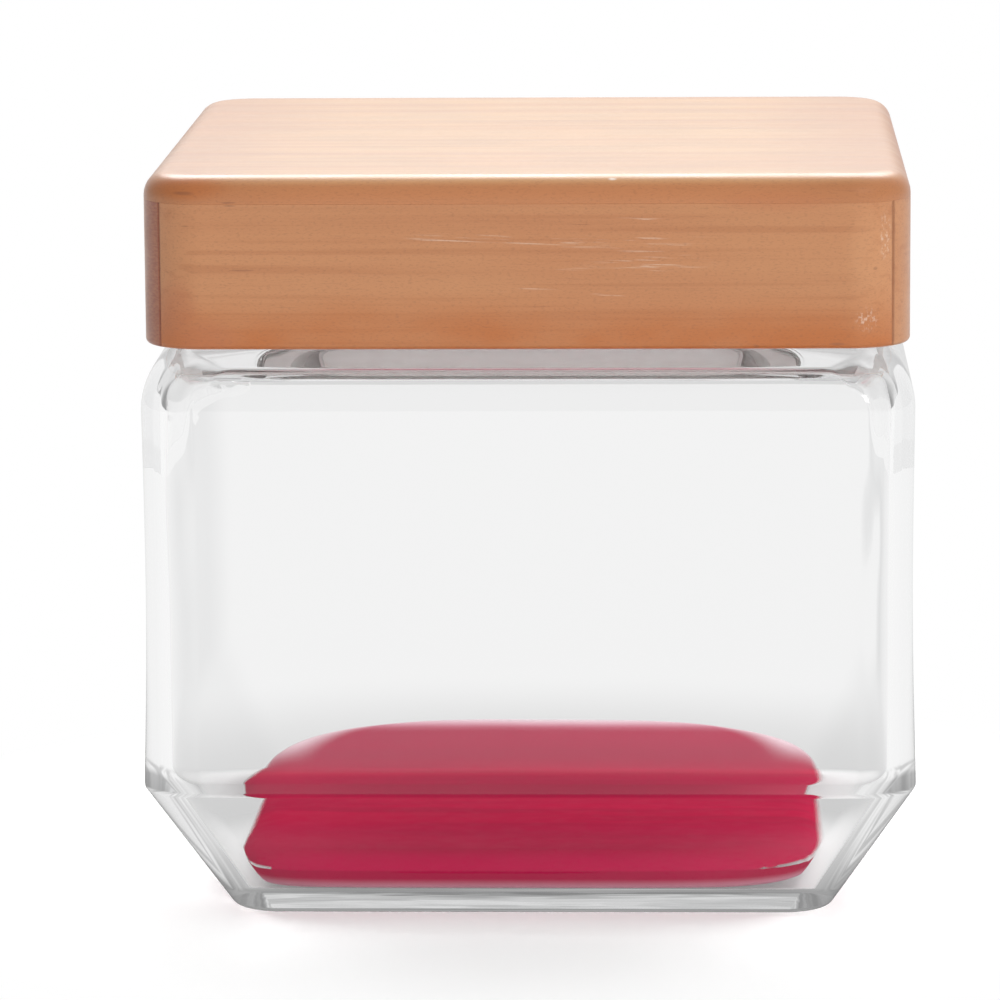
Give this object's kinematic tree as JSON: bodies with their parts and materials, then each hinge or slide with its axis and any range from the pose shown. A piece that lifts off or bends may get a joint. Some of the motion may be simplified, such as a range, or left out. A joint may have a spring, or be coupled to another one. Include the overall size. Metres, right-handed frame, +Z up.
{
  "type": "square glass candy jar",
  "caption": "Square clear glass candy jar with a tapered base, a short hidden neck, a lift-off wooden box lid with a seal ring, and a set layer of red candy on its floor.",
  "frame": {"origin": "centre of the jar's foot on the surface that it stands on", "axes": "+Z up, +X to the right and -Y towards the viewer of the front face; all four sides are alike"},
  "size_m": [0.1226, 0.1226, 0.1202],
  "materials": {
    "clear_glass": "clear pressed glass, slightly wavy inside",
    "pine_wood": "orange-tan stained pine, satin lacquer",
    "bare_pine": "pale unlacquered pine",
    "clear_silicone": "translucent silicone, matt",
    "red_candy": "set red sugar, glossy, lets some light through"
  },
  "bodies": {
    "jar": {"glass_jar": "clear_glass", "candy_layer": "red_candy"},
    "lid": {"lid_top_board": "pine_wood", "lid_front_rail": "pine_wood", "lid_right_rail": "pine_wood", "lid_back_rail": "pine_wood", "lid_left_rail": "pine_wood", "lid_plug_board": "bare_pine", "lid_seal_ring": "clear_silicone"}
  },
  "joints": [
    {"name": "lid_lift", "type": "slide", "parent": "jar", "child": "lid", "axis": [0, 0, 1], "range_m": [0, 0.08]}
  ]
}
